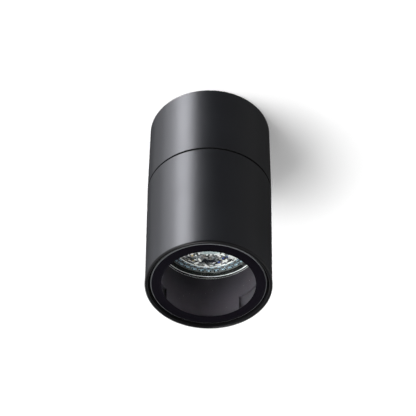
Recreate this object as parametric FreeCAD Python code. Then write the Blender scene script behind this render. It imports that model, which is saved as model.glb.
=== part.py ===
import FreeCAD, Part
import math
import os

# Outdoor ceiling light: a round downlight in two halves that screw together, with a twist-in lamp.
# Millimetres, +Z up. The origin is the middle of the face on the ceiling, and the light hangs below it.
# Places called up are heights above the open mouth, and up_z turns them into z.
# The inner fittings are laid out along their own x and y, which inner_turn_deg turns about Z.

# Whole light: its width follows from the lamp's and its height from what hangs in it.
# Both halves grow a little towards the seam, as cast ones do.
upper_height = 42.1
lower_wall = 3.1
draft_growth = 0.4
seam_gap = 0.5
seam_bevel = 0.25
ceiling_round = 0.4
inner_turn_deg = -45.0

# Small clearances
slide_gap = 0.1
seat_gap = 0.02
hole_gap = 0.05
cut_overrun = 1.0
same_place = 1e-6

# Upper housing
top_thickness = 3.0
upper_wall = 3.2
spigot_wall = 1.5
spigot_length = 8.5
spigot_bevel = 0.4
inner_fillet = 1.5
rib_thickness = 1.4
rib_reach = 5.0
rib_drop = 7.0
rib_angles_deg = (-20.0, 20.0, 52.0)

# Ceiling gasket and its groove
gasket_margin = 1.6
gasket_width = 3.0
gasket_depth = 1.5
gasket_groove_gap = 0.15

# Fixing slots
slot_margin = 1.2
slot_width = 4.4
slot_length = 8.0

# Cable grommet
cable_hole_radius = 6.5
cable_bore_radius = 3.5
grommet_flange = 2.2
grommet_flange_thickness = 1.2
grommet_nose = 4.0
grommet_nose_wall = 1.3

# Seam seal
seal_width = 1.1
seal_rebate = 0.8

# Lower housing
thread_length = 10.5
sleeve_step = 0.9
ledge_thickness = 1.5
ledge_inset = 0.5

# Front: bezel, glass, its gasket, sealant and printed border
bezel_overhang = 0.15
bezel_flange = 1.0
bezel_spigot = 2.5
bezel_spigot_wall = 0.7
bezel_outer_round = 0.8
bezel_inner_round = 0.25
glass_margin = 2.5
glass_thickness = 3.0
glass_recess = 1.3
glass_chamfer = 0.35
glass_gasket_thickness = 0.5
sealant_width = 0.8
sealant_dip = 0.6
border_width = 5.1
border_margin = 0.45
border_thickness = 0.05

# Antiglare sleeve and its snap ring
sleeve_wall = 1.1
sleeve_flange = 1.2
sleeve_overlap = 4.6
notch_count = 3
notch_angle_deg = 38.2
notch_width_deg = 33.6
notch_height = 8.3
ring_width = 1.0
ring_height = 1.0
ring_opening_deg = 28.0
ring_groove_depth = 0.45

# Lamp: its depths run up from its front
lamp_front_up = 29.4
lamp_diameter = 50.0
lamp_room = 0.5
lens_inset = 0.2
lens_edge = 3.0
lens_edge_round = 0.25
lens_brim = 6.4
lens_cone_depth = 10.8
lens_facets = 32
lens_row_depth_shares = (0.0, 0.15, 0.32, 0.49, 0.66, 0.83, 1.0)
lens_row_radius_shares = (1.0, 0.94, 0.85, 0.74, 0.62, 0.49, 0.36)
lens_well_radius = 5.6
lens_well_depth = 5.5
lens_dome_height = 2.0
lens_pocket_radius = 3.8
lens_pocket_depth = 2.4
pillow_count = 36
pillow_gap = 1.9
pillow_length = 1.6
pillow_width = 2.4
pillow_height = 0.6
pillow_ridge_share = 0.4
rim_wall = 2.0
rim_depth = 6.5
shell_waist_radius = 15.5
shell_waist_depth = 30.0
shell_end_length = 3.0
shell_shoulder_radius_share = 0.72
shell_shoulder_depth_share = 0.5
board_radius = 14.5
board_thickness = 1.6
board_gap = 0.3
chip_radius = 3.2
chip_height = 0.9
shell_fin_count = 18
shell_fin_width = 1.6
shell_fin_depth = 1.2
shell_fin_foot = 9.0

# Lamp base and pins
base_inset = 1.5
base_length = 10.0
base_step = 1.4
base_end_length = 4.0
base_round = 1.5
base_bevel = 0.8
pin_spacing = 10.0
pin_length = 7.0
pin_radius = 1.55
pin_head_radius = 2.5
pin_head_length = 2.0
pin_head_bevel = 0.4
twist_deg = 25.0

# Lamp holder
holder_gap = 0.1
holder_length = 32.0
holder_width = 18.0
holder_height = 11.0
holder_front = 4.88
holder_cover = 2.5
entry_radius = 2.9
pin_slot_width = 3.8
pin_room_width = 6.4
holder_screw_inset = 4.0
counterbore_depth = 2.6
lead_hole_depth = 4.0
lead_hole_rise = 7.5
contact_thickness = 0.4
contact_width = 3.6
contact_gap = 0.2

# Bracket and the bosses that carry it
bracket_depth = 7.3
strip_thickness = 1.0
strip_width = 14.0
strip_bend = 0.8
foot_run = 3.7
foot_end = 3.3
boss_wall_gap = 1.9
boss_radius = 3.5
boss_height = 4.0

# Screws: shank radius, head radius and head height
small_screw = (1.5, 2.8, 2.0)
earth_screw_size = (2.0, 3.6, 2.4)
block_screw_size = (1.0, 1.9, 1.5)
pinch_screw = (0.9, 1.3, 1.4)
drive_share = 0.3
drive_depth_share = 0.5
drive_length_share = 1.3
head_bevel_share = 0.35
bracket_screw_length = 4.4
holder_screw_length = 16.0
earth_screw_length = 5.4
block_screw_length = 11.0
nut_flats = 5.5
nut_height = 2.4

# Terminal block, above the holder's edge and off the wall
block_middle_x = -3.0
block_wall_gap = 5.1
block_length = 19.0
block_width = 12.0
block_height = 10.0
block_round = 0.8
block_standoff = 1.2
block_boss_radius = 2.6
pole_pitch = 6.0
pole_count = 3
sleeve_tube_radius = 1.8
sleeve_tube_bore = 1.2
sleeve_tube_length = 10.0
pinch_spacing = 6.0
pinch_clearance = 0.1
well_radius = 1.5

# Leads
lead_radius = 1.0
lead_bend = 2.2
lead_seat = 4.3
lead_run_out = 2.5
earth_wall_gap = 2.3
earth_angle_deg = 144.8
lug_drop = 2.8
lug_radius = 3.4
lug_thickness = 0.8
lug_barrel_radius = 1.5
lug_barrel_length = 3.6
lug_neck = 2.6
earth_run_out = 1.7

# Sizes that follow
V = FreeCAD.Vector
origin = V(0, 0, 0)
along_x = V(1, 0, 0)
along_y = V(0, 1, 0)
along_z = V(0, 0, 1)

lamp_radius = lamp_diameter / 2
sleeve_bore_radius = lamp_radius + lamp_room
sleeve_radius = sleeve_bore_radius + sleeve_wall
lower_bore_radius = sleeve_radius + slide_gap
upper_bore_radius = lower_bore_radius + sleeve_step
ledge_radius = sleeve_bore_radius + ledge_inset
body_radius = lower_bore_radius + lower_wall
seam_radius = body_radius + draft_growth
bore_radius = body_radius - upper_wall
spigot_radius = bore_radius + spigot_wall
thread_radius = spigot_radius + slide_gap
glass_radius = body_radius - glass_margin
pocket_radius = glass_radius + sealant_width
bezel_spigot_radius = pocket_radius + bezel_spigot_wall
border_hole_radius = glass_radius - border_width
gasket_inner = body_radius - gasket_margin - gasket_width
slot_spacing = 2 * (gasket_inner - slot_margin) - slot_length
boss_spacing = 2 * (bore_radius - boss_wall_gap - boss_radius)
leg_reach = boss_spacing / 2 - foot_run
foot_reach = boss_spacing / 2 + foot_end

holder_screw_spacing = holder_length - 2 * holder_screw_inset
lens_radius = lamp_radius - lens_inset
lens_cone_radius = lens_radius - lens_brim
pillow_inner = lens_cone_radius + pillow_gap
base_radius = shell_waist_radius - base_inset
base_end_radius = base_radius - base_step
shell_end_depth = shell_waist_depth + shell_end_length
lamp_length = shell_end_depth + base_length + base_end_length
board_depth = lens_edge + lens_cone_depth + board_gap

holder_up = lamp_front_up + lamp_length + holder_gap
body_height = holder_up + holder_height + holder_cover + bracket_depth + boss_height + top_thickness
mouth_z = -body_height
seam_z = -upper_height
shoulder_z = seam_z + seam_gap / 2
lower_top_z = seam_z - seam_gap / 2
spigot_end_z = shoulder_z - spigot_length
ceiling_z = -top_thickness
glass_gasket_up = glass_recess + glass_thickness
ledge_up = glass_gasket_up + glass_gasket_thickness
sleeve_foot_up = ledge_up + ledge_thickness
notch_top_up = sleeve_foot_up + notch_height
sleeve_step_up = lamp_front_up + sleeve_overlap
sleeve_top_up = sleeve_step_up + sleeve_flange

block_middle_y = bore_radius - block_wall_gap - block_width / 2
earth_reach = bore_radius - earth_wall_gap - boss_radius
earth_x = earth_reach * math.cos(math.radians(earth_angle_deg))
earth_y = earth_reach * math.sin(math.radians(earth_angle_deg))
earth_boss_height = block_standoff + block_height + lug_drop


def up_z(up):
    """z of a height above the mouth."""
    return mouth_z + up


def lamp_z(depth):
    """z of a depth behind the lamp's front."""
    return up_z(lamp_front_up) + depth


holder_z = up_z(holder_up)
cover_z = holder_z + holder_height
strip_z = cover_z + holder_cover
boss_end_z = ceiling_z - boss_height
block_top_z = ceiling_z - block_standoff
block_axis_z = block_top_z - block_height / 2
lead_hole_z = holder_z + lead_hole_rise
earth_end_z = ceiling_z - earth_boss_height


def corner_round(before, here, after, radius):
    """Start, middle and end of the arc that rounds one corner of a path."""
    back = (before - here).normalize()
    onward = (after - here).normalize()
    half = back.getAngle(onward) / 2
    inward = (back + onward).normalize()
    reach = radius / math.tan(half)
    dip = radius / math.sin(half) - radius
    return here + back * reach, here + inward * dip, here + onward * reach


def path_edges(corners, closed):
    """Lines and tangent arcs through corners, each a place and the radius that rounds it."""
    rounds = []
    for n, (here, radius) in enumerate(corners):
        if radius:
            before = corners[n - 1][0]
            after = corners[(n + 1) % len(corners)][0]
            rounds.append(corner_round(before, here, after, radius))
        else:
            rounds.append((here, here, here))
    edges = []
    for n, (start, middle, end) in enumerate(rounds):
        if corners[n][1]:
            edges.append(Part.Arc(start, middle, end).toShape())
        if n + 1 == len(rounds) and not closed:
            break
        following = rounds[(n + 1) % len(rounds)][0]
        if not end.isEqual(following, same_place):
            edges.append(Part.LineSegment(end, following).toShape())
    return edges


def flat_face(corners):
    """Face inside a closed outline of (place, round) corners."""
    return Part.Face(Part.Wire(path_edges(corners, True)))


def turned(*profile):
    """Solid turned about Z from corners given as (radius, z) or (radius, z, round)."""
    corners = [(V(p[0], 0, p[1]), p[2] if len(p) > 2 else 0) for p in profile]
    return flat_face(corners).revolve(origin, along_z, 360)


def ring(inside, outside, low, high):
    """Plain ring about Z."""
    return turned((inside, low), (outside, low), (outside, high), (inside, high))


def disc(radius, low, high, x=0.0, y=0.0):
    """Round bar along Z."""
    return Part.makeCylinder(radius, high - low, V(x, y, low))


def block(length, width, low, high, x=0.0, y=0.0, radius=0.0):
    """Upright block about (x, y) whose four upright edges are rounded."""
    half_x = length / 2
    half_y = width / 2
    places = (V(x - half_x, y - half_y, low), V(x + half_x, y - half_y, low),
              V(x + half_x, y + half_y, low), V(x - half_x, y + half_y, low))
    return flat_face([(place, radius) for place in places]).extrude(V(0, 0, high - low))


def polar(radius, angle_deg, z):
    """Point at a radius and an angle about Z."""
    angle = math.radians(angle_deg)
    return V(radius * math.cos(angle), radius * math.sin(angle), z)


def arc_slot(radius, width, start_deg, end_deg, low, high):
    """Slot of even width along an arc about Z, with round ends."""
    inside = radius - width / 2
    outside = radius + width / 2
    middle_deg = (start_deg + end_deg) / 2
    end_way = polar(width / 2, end_deg + 90, 0)
    start_way = polar(width / 2, start_deg - 90, 0)
    arcs = (
        Part.Arc(polar(outside, start_deg, low), polar(outside, middle_deg, low),
                 polar(outside, end_deg, low)),
        Part.Arc(polar(outside, end_deg, low), polar(radius, end_deg, low) + end_way,
                 polar(inside, end_deg, low)),
        Part.Arc(polar(inside, end_deg, low), polar(inside, middle_deg, low),
                 polar(inside, start_deg, low)),
        Part.Arc(polar(inside, start_deg, low), polar(radius, start_deg, low) + start_way,
                 polar(outside, start_deg, low)),
    )
    wire = Part.Wire([arc.toShape() for arc in arcs])
    return Part.Face(wire).extrude(V(0, 0, high - low))


def sector(middle_deg, width_deg, reach, low, high):
    """Wedge about Z that cuts a notch of one angle."""
    sides = (polar(reach, middle_deg - width_deg / 2, low), polar(reach, middle_deg + width_deg / 2, low))
    wire = Part.makePolygon([V(0, 0, low), sides[0], sides[1], V(0, 0, low)])
    return Part.Face(wire).extrude(V(0, 0, high - low))


def spun(shape, angle_deg):
    """The shape turned about Z."""
    return shape.rotated(origin, along_z, angle_deg)


def inner(shape):
    """The shape turned from the inner fittings' own x and y to the light's."""
    return spun(shape, inner_turn_deg)


def rod(corners, radius, bend):
    """Round lead along a path whose corners are bent to one radius."""
    ends = (corners[0], corners[-1])
    path = Part.Wire(path_edges([(c, 0 if c in ends else bend) for c in corners], False))
    start = Part.Wire(Part.Circle(corners[0], corners[1] - corners[0], radius).toShape())
    return path.makePipeShell([start], True, False)


def screw(size, length, place):
    """Round-headed screw with a cross drive, head down, its head seated at place."""
    shank, head, height = size
    bevel = height * head_bevel_share
    body = turned((0, -height), (head - bevel, -height), (head, bevel - height), (head, 0), (shank, 0),
                  (shank, length), (0, length))
    depth = height * drive_depth_share
    bar = block(head * drive_length_share, head * drive_share, -height - depth, -height + depth)
    return body.cut([bar, spun(bar, 90)]).translated(place)


def hex_nut(x, y, low):
    """Hexagon nut round a small screw."""
    corner_reach = nut_flats / math.sqrt(3)
    corners = [polar(corner_reach, 60 * n, low) + V(x, y, 0) for n in range(7)]
    body = Part.Face(Part.makePolygon(corners)).extrude(V(0, 0, nut_height))
    bore = disc(small_screw[0] + hole_gap, low - cut_overrun, low + nut_height + cut_overrun, x, y)
    return body.cut(bore)


def both_ways(spacing):
    """The two places either side of the middle on x."""
    return (-spacing / 2, spacing / 2)


def pole_places():
    """x of each pole of the terminal block."""
    return [block_middle_x + pole_pitch * (n - (pole_count - 1) / 2) for n in range(pole_count)]


def pinch_places():
    """y of the clamping screws of one pole."""
    return [block_middle_y + y for y in both_ways(pinch_spacing)]


def upper_housing():
    """Cast cup on the ceiling with slots, cable hole, gasket groove, bosses, ribs and a spigot."""
    cup = turned((0, 0), (body_radius, 0, ceiling_round), (seam_radius, shoulder_z + seam_bevel),
                 (seam_radius - seam_bevel, shoulder_z), (spigot_radius, shoulder_z),
                 (spigot_radius, spigot_end_z + spigot_bevel), (spigot_radius - spigot_bevel, spigot_end_z),
                 (bore_radius, spigot_end_z), (bore_radius, ceiling_z, inner_fillet), (0, ceiling_z))
    root = ceiling_z / 2
    bosses = [disc(boss_radius, boss_end_z, root, x) for x in both_ways(boss_spacing)]
    bosses.append(disc(boss_radius, earth_end_z, root, earth_x, earth_y))
    bosses.append(disc(block_boss_radius, block_top_z, root, 0, block_middle_y))
    cup = cup.fuse([inner(boss) for boss in bosses] + [upper_rib(angle) for angle in rib_angles_deg])
    groove = ring(gasket_inner - gasket_groove_gap, gasket_inner + gasket_width + gasket_groove_gap,
                  -gasket_depth, cut_overrun)
    cable_hole = disc(cable_hole_radius, ceiling_z - cut_overrun, cut_overrun)
    flange_seat = disc(cable_hole_radius + grommet_flange + hole_gap, -grommet_flange_thickness, cut_overrun)
    cuts = [groove, cable_hole, flange_seat] + fixing_slots()
    for x in both_ways(boss_spacing):
        hole = disc(small_screw[0] + hole_gap, boss_end_z - cut_overrun, ceiling_z, x)
        cuts.append(inner(hole))
    cuts.append(inner(disc(earth_screw_size[0] + hole_gap, earth_end_z - cut_overrun,
                           earth_end_z + earth_screw_length, earth_x, earth_y)))
    cuts.append(inner(disc(block_screw_size[0] + hole_gap, block_top_z - cut_overrun,
                           ceiling_z / 2, 0, block_middle_y)))
    return cup.cut(cuts)


def upper_rib(angle_deg):
    """Gusset between the cup's roof and its wall."""
    inside = bore_radius - rib_reach
    low = ceiling_z - rib_drop
    corners = [(V(inside, 0, ceiling_z / 2), 0), (V(inside, 0, ceiling_z), 0),
               (V(bore_radius, 0, low), 0), (V(bore_radius + spigot_wall, 0, low), 0),
               (V(bore_radius + spigot_wall, 0, ceiling_z / 2), 0)]
    plate = flat_face(corners).extrude(V(0, rib_thickness, 0)).translated(V(0, -rib_thickness / 2, 0))
    return spun(plate, angle_deg - 90 + inner_turn_deg)


def fixing_slots():
    """Cutters for the two slots that take the ceiling screws."""
    cutters = []
    for x in both_ways(slot_spacing):
        cutters.append(block(slot_length, slot_width, ceiling_z - cut_overrun, cut_overrun,
                             x, 0, slot_width / 2))
    return cutters


def ceiling_gasket():
    """Foam ring in the groove of the ceiling face."""
    return ring(gasket_inner, gasket_inner + gasket_width, -gasket_depth, 0)


def cable_grommet():
    """Rubber bush that grips the cable hole's edge and tapers to a nose below."""
    wide = cable_hole_radius + grommet_flange
    grip = cable_hole_radius - hole_gap
    under = ceiling_z - grommet_flange_thickness
    nose_z = under - grommet_nose
    nose = cable_bore_radius + grommet_nose_wall
    return turned((cable_bore_radius, 0), (wide, 0), (wide, -grommet_flange_thickness),
                  (grip, -grommet_flange_thickness), (grip, ceiling_z), (wide, ceiling_z), (wide, under),
                  (nose, nose_z), (cable_bore_radius, nose_z))


def bracket():
    """Bent steel strip that hangs the lamp holder from the two bosses."""
    foot_z = boss_end_z - strip_thickness
    half = [(leg_reach, strip_z, strip_bend + strip_thickness), (leg_reach, foot_z, strip_bend),
            (foot_reach, foot_z, 0), (foot_reach, boss_end_z, 0),
            (leg_reach - strip_thickness, boss_end_z, strip_bend + strip_thickness),
            (leg_reach - strip_thickness, strip_z + strip_thickness, strip_bend)]
    corners = [(V(x, 0, z), r) for x, z, r in half] + [(V(-x, 0, z), r) for x, z, r in reversed(half)]
    strip = flat_face(corners).extrude(V(0, strip_width, 0)).translated(V(0, -strip_width / 2, 0))
    radius = small_screw[0] + slide_gap
    places = both_ways(boss_spacing) + both_ways(holder_screw_spacing)
    holes = [disc(radius, strip_z - cut_overrun, boss_end_z + cut_overrun, x) for x in places]
    return inner(strip.cut(holes))


def bracket_screws():
    """Two screws that hold the bracket's feet to the bosses."""
    seat = boss_end_z - strip_thickness
    return [inner(screw(small_screw, bracket_screw_length, V(x, 0, seat))) for x in both_ways(boss_spacing)]


def lamp_holder():
    """Ceramic socket: keyhole slots in its face, a room behind each and counterbored screw holes."""
    body = block(holder_length, holder_width, holder_z, cover_z, radius=holder_width / 2)
    floor_z = holder_z + holder_front
    cuts = []
    for turn in (0, 180):
        cuts.append(spun(disc(entry_radius, holder_z - cut_overrun, floor_z + cut_overrun, pin_spacing / 2),
                         turn - twist_deg))
        cuts.append(arc_slot(pin_spacing / 2, pin_slot_width, turn - twist_deg, turn,
                             holder_z - cut_overrun, floor_z + cut_overrun))
        cuts.append(arc_slot(pin_spacing / 2, pin_room_width, turn - twist_deg, turn,
                             floor_z, cover_z + cut_overrun))
    for x in both_ways(holder_screw_spacing):
        cuts.append(disc(small_screw[0] + slide_gap, holder_z - cut_overrun, cover_z + cut_overrun, x))
        cuts.append(disc(small_screw[1] + slide_gap, holder_z - cut_overrun, holder_z + counterbore_depth, x))
    for x in both_ways(pole_pitch):
        cuts.append(Part.makeCylinder(lead_radius + hole_gap, lead_hole_depth + cut_overrun,
                                      V(x, holder_width / 2 - lead_hole_depth, lead_hole_z), along_y))
    return inner(body.cut(cuts))


def holder_back():
    """Ceramic plate that closes the socket's rooms."""
    plate = block(holder_length, holder_width, cover_z, strip_z, radius=holder_width / 2)
    holes = [disc(small_screw[0] + slide_gap, cover_z - cut_overrun, strip_z + cut_overrun, x)
             for x in both_ways(holder_screw_spacing)]
    return inner(plate.cut(holes))


def holder_contacts():
    """Brass leaf over each pin's head, with a tab that stands up to the back plate."""
    leaf_z = lamp_z(lamp_length + pin_length) + contact_gap
    leaves = []
    for turn in (0, 180):
        leaf = block(contact_width, contact_width, leaf_z, leaf_z + contact_thickness, pin_spacing / 2)
        tab_x = pin_spacing / 2 + (contact_width - contact_thickness) / 2
        tab = block(contact_thickness, contact_width, leaf_z, cover_z - contact_gap, tab_x)
        leaves.append(inner(spun(leaf.fuse(tab), turn)))
    return leaves


def holder_screws():
    """Two screws up through the holder, its back and the bracket."""
    seat = holder_z + counterbore_depth
    return [inner(screw(small_screw, holder_screw_length, V(x, 0, seat)))
            for x in both_ways(holder_screw_spacing)]


def holder_nuts():
    """Two nuts on top of the bracket."""
    return [inner(hex_nut(x, 0, strip_z + strip_thickness)) for x in both_ways(holder_screw_spacing)]


def terminal_block():
    """Three-pole block under the roof: bored for its brass tubes, with wells for the clamping screws."""
    low = block_top_z - block_height
    body = block(block_length, block_width, low, block_top_z, block_middle_x, block_middle_y, block_round)
    front = block_middle_y - block_width / 2
    cuts = []
    for x in pole_places():
        tube_y = block_middle_y - sleeve_tube_length / 2
        cuts.append(Part.makeCylinder(sleeve_tube_bore, block_width + 2 * cut_overrun,
                                      V(x, front - cut_overrun, block_axis_z), along_y))
        cuts.append(Part.makeCylinder(sleeve_tube_radius + hole_gap, sleeve_tube_length,
                                      V(x, tube_y, block_axis_z), along_y))
        for y in pinch_places():
            cuts.append(disc(well_radius, low - cut_overrun, block_axis_z, x, y))
    shank, head, height = block_screw_size
    screw_hole = disc(shank + hole_gap, low - cut_overrun, block_top_z + cut_overrun, 0, block_middle_y)
    head_room = disc(head + hole_gap, low - cut_overrun, low + height, 0, block_middle_y)
    return inner(body.cut(cuts + [screw_hole, head_room]))


def terminal_tubes():
    """Brass clamping tube of each pole."""
    tubes = []
    for x in pole_places():
        start = V(x, block_middle_y - sleeve_tube_length / 2, block_axis_z)
        tube = Part.makeCylinder(sleeve_tube_radius, sleeve_tube_length, start, along_y)
        cuts = [Part.makeCylinder(sleeve_tube_bore, sleeve_tube_length + 2 * cut_overrun,
                                  start - along_y * cut_overrun, along_y)]
        for y in pinch_places():
            cuts.append(disc(pinch_screw[0] + hole_gap, block_axis_z - sleeve_tube_radius - cut_overrun,
                             block_axis_z, x, y))
        tubes.append(inner(tube.cut(cuts)))
    return tubes


def terminal_screws():
    """Two clamping screws for each pole, their tips just short of the lead."""
    screws = []
    tip_z = block_axis_z - lead_radius - pinch_clearance
    seat_z = block_top_z - block_height + pinch_screw[2]
    for x in pole_places():
        for y in pinch_places():
            screws.append(inner(screw(pinch_screw, tip_z - seat_z, V(x, y, seat_z))))
    return screws


def block_screw():
    """Screw that holds the terminal block to its boss."""
    seat = V(0, block_middle_y, block_top_z - block_height + block_screw_size[2])
    return inner(screw(block_screw_size, block_screw_length, seat))


def lamp_lead(x):
    """Lead from the block's far side, down the wall and back into the holder."""
    face = block_middle_y + block_width / 2
    out = face + lead_run_out
    end = holder_width / 2 - lead_hole_depth + hole_gap
    route = (V(x, face - lead_seat, block_axis_z), V(x, out, block_axis_z), V(x, out, lead_hole_z),
             V(x, end, lead_hole_z))
    return inner(rod(route, lead_radius, lead_bend))


def earth_corner():
    """Place over which the earth lead comes down from its pole."""
    return V(pole_places()[0], block_middle_y + block_width / 2 + earth_run_out, 0)


def lug_way():
    """Way from the earth screw to the corner of its lead."""
    return (earth_corner() - V(earth_x, earth_y, 0)).normalize()


def earth_lead():
    """Green and yellow lead from the end pole down to the earth lug."""
    above = V(0, 0, block_axis_z)
    beside = V(0, 0, earth_end_z - lug_thickness / 2)
    seat = V(pole_places()[0], block_middle_y + block_width / 2 - lead_seat, 0)
    barrel = V(earth_x, earth_y, 0) + lug_way() * (lug_radius + lug_neck)
    route = (seat + above, earth_corner() + above, earth_corner() + beside, barrel + beside)
    return inner(rod(route, lead_radius, lead_bend))


def earth_lug():
    """Ring terminal under the earth screw, its crimped barrel pointing to the lead."""
    low = earth_end_z - lug_thickness
    start = V(0, lug_radius + lug_neck / 2, earth_end_z - lug_thickness / 2)
    eye = disc(lug_radius, low, earth_end_z)
    neck = block(lug_barrel_radius * 2, lug_radius + lug_neck, low, earth_end_z,
                 0, (lug_radius + lug_neck) / 2)
    barrel = Part.makeCylinder(lug_barrel_radius, lug_barrel_length, start, along_y)
    bore = Part.makeCylinder(lead_radius + hole_gap, lug_barrel_length * 2, start, along_y)
    hole = disc(earth_screw_size[0] + slide_gap, low - cut_overrun, earth_end_z + cut_overrun)
    lug = eye.fuse([neck, barrel]).cut([bore, hole])
    turn_deg = math.degrees(math.atan2(lug_way().y, lug_way().x)) - 90
    return inner(spun(lug, turn_deg).translated(V(earth_x, earth_y, 0)))


def earth_screw():
    """Screw that clamps the lug to the housing."""
    seat = V(earth_x, earth_y, earth_end_z - lug_thickness)
    return inner(screw(earth_screw_size, earth_screw_length, seat))


def seam_seal():
    """Silicone ring between the two halves, seen as the dark line round the body."""
    rebate_z = lower_top_z - seal_rebate
    return ring(spigot_radius + hole_gap, spigot_radius + hole_gap + seal_width,
                rebate_z + seat_gap, shoulder_z - seat_gap)


def lower_housing():
    """Tube with an internal thread fit at its top, steps for the sleeve and the glass, and a bezel seat."""
    rebate_radius = spigot_radius + seal_width + 2 * hole_gap
    seat_radius = bezel_spigot_radius + hole_gap
    groove_up = sleeve_top_up + ring_height + slide_gap
    thread_z = lower_top_z - thread_length
    return turned(
        (seam_radius, lower_top_z - seam_bevel), (seam_radius - seam_bevel, lower_top_z),
        (rebate_radius, lower_top_z),
        (rebate_radius, lower_top_z - seal_rebate), (thread_radius, lower_top_z - seal_rebate),
        (thread_radius, thread_z), (upper_bore_radius, thread_z),
        (upper_bore_radius, up_z(groove_up)), (upper_bore_radius + ring_groove_depth, up_z(groove_up)),
        (upper_bore_radius + ring_groove_depth, up_z(sleeve_top_up)),
        (upper_bore_radius, up_z(sleeve_top_up)),
        (upper_bore_radius, up_z(sleeve_step_up)), (lower_bore_radius, up_z(sleeve_step_up)),
        (lower_bore_radius, up_z(sleeve_foot_up)), (ledge_radius, up_z(sleeve_foot_up)),
        (ledge_radius, up_z(ledge_up)), (pocket_radius, up_z(ledge_up)),
        (pocket_radius, up_z(bezel_flange + bezel_spigot)), (seat_radius, up_z(bezel_flange + bezel_spigot)),
        (seat_radius, up_z(bezel_flange)), (body_radius, up_z(bezel_flange)))


def antiglare_sleeve():
    """Matt black liner with notches in its lower edge and a flange that rests on the housing's step."""
    foot = up_z(sleeve_foot_up)
    step = up_z(sleeve_step_up)
    top = up_z(sleeve_top_up)
    liner = turned((sleeve_bore_radius, foot), (sleeve_radius, foot), (sleeve_radius, step),
                   (upper_bore_radius - slide_gap, step), (upper_bore_radius - slide_gap, top),
                   (sleeve_bore_radius, top))
    notches = []
    for n in range(notch_count):
        middle = notch_angle_deg + n * 360 / notch_count
        notches.append(sector(middle, notch_width_deg, body_radius * 2, foot - cut_overrun,
                              up_z(notch_top_up)))
    return liner.cut(notches)


def sleeve_snap_ring():
    """Open flat ring in the housing's groove, over the sleeve's flange."""
    outside = upper_bore_radius + ring_groove_depth - hole_gap
    low = up_z(sleeve_top_up)
    high = low + ring_height
    gap = sector(0, ring_opening_deg, body_radius * 2, low - cut_overrun, high + cut_overrun)
    return ring(outside - ring_width, outside, low, high).cut(gap)


def glass_gasket():
    """Flat silicone ring between the ledge and the glass."""
    return ring(ledge_radius, glass_radius - glass_chamfer, up_z(glass_gasket_up), up_z(ledge_up))


def cover_glass():
    """Clear tempered disc with ground edges."""
    low = up_z(glass_recess)
    high = up_z(glass_gasket_up)
    edge = glass_radius - glass_chamfer
    return turned((0, low), (edge, low), (glass_radius, low + glass_chamfer),
                  (glass_radius, high - glass_chamfer), (edge, high), (0, high))


def glass_border():
    """Black ring printed round the clear part of the glass."""
    outer = glass_radius - border_margin
    return ring(border_hole_radius, outer, up_z(glass_recess - border_thickness), up_z(glass_recess))


def glass_sealant():
    """Bead of black silicone between the glass's edge and its pocket."""
    low = up_z(glass_recess + sealant_dip)
    return ring(glass_radius, pocket_radius, low, up_z(ledge_up))


def front_bezel():
    """Ring over the tube's end: a flat lip, a rounded edge and a spigot pressed into the tube."""
    outer = body_radius + bezel_overhang
    lip = up_z(0)
    shoulder = up_z(bezel_flange)
    top = up_z(bezel_flange + bezel_spigot)
    return turned((pocket_radius, lip, bezel_inner_round), (outer, lip, bezel_outer_round),
                  (outer, shoulder), (bezel_spigot_radius, shoulder),
                  (bezel_spigot_radius, top), (pocket_radius, top))


def faceted_cone(radius, low, height):
    """Cone of flat triangles in rings, each ring set half a facet on from the last."""
    pitch = 360 / lens_facets
    rings = []
    for row, (depth_share, radius_share) in enumerate(zip(lens_row_depth_shares, lens_row_radius_shares)):
        shift = pitch / 2 * (row % 2)
        z = low + height * depth_share
        rings.append([polar(radius * radius_share, pitch * n + shift, z) for n in range(lens_facets)])
    triangles = []
    for row, (near, far) in enumerate(zip(rings, rings[1:])):
        for n in range(lens_facets):
            after = (n + 1) % lens_facets
            if row % 2:
                triangles += [(near[n], near[after], far[after]), (near[n], far[after], far[n])]
            else:
                triangles += [(near[n], near[after], far[n]), (far[n], near[after], far[after])]
    faces = [Part.Face(Part.makePolygon([a, b, c, a])) for a, b, c in triangles]
    for end in (rings[0], rings[-1]):
        faces.append(Part.Face(Part.makePolygon(end + end[:1])))
    return Part.Solid(Part.Shell(faces))


def pillows(low):
    """Ring of small hipped facets on the back of the lens disc."""
    half_length = pillow_length / 2
    half_width = pillow_width / 2
    ridge = half_length * pillow_ridge_share
    middle = pillow_inner + half_length
    one = Part.makeWedge(-half_width, 0, -half_length, -ridge, -half_width * pillow_ridge_share,
                         half_width, pillow_height, half_length, ridge, half_width * pillow_ridge_share)
    one = one.rotated(origin, along_x, 90).rotated(origin, along_z, 90).translated(V(middle, 0, low))
    return [spun(one, n * 360 / pillow_count) for n in range(pillow_count)]


def lamp_lens():
    """Clear optic: polished disc, faceted cone behind it, a domed well in front and a ring of pillows."""
    front = lamp_z(0)
    back = lamp_z(lens_edge)
    plate = turned((0, front), (lens_radius, front, lens_edge_round), (lens_radius, back, lens_edge_round),
                   (0, back))
    root = lens_edge / 2
    cone = faceted_cone(lens_cone_radius, lamp_z(root), lens_cone_depth + root)
    well = disc(lens_well_radius, front - cut_overrun, lamp_z(lens_well_depth))
    dome_radius = (lens_well_radius ** 2 + lens_dome_height ** 2) / (2 * lens_dome_height)
    dome = Part.makeSphere(dome_radius, V(0, 0, lamp_z(lens_well_depth - lens_dome_height) + dome_radius))
    pocket = disc(lens_pocket_radius, lamp_z(lens_edge + lens_cone_depth - lens_pocket_depth),
                  lamp_z(lens_edge + lens_cone_depth) + cut_overrun)
    body = plate.fuse([cone] + pillows(back))
    return body.cut([well.cut(dome), pocket])


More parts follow.
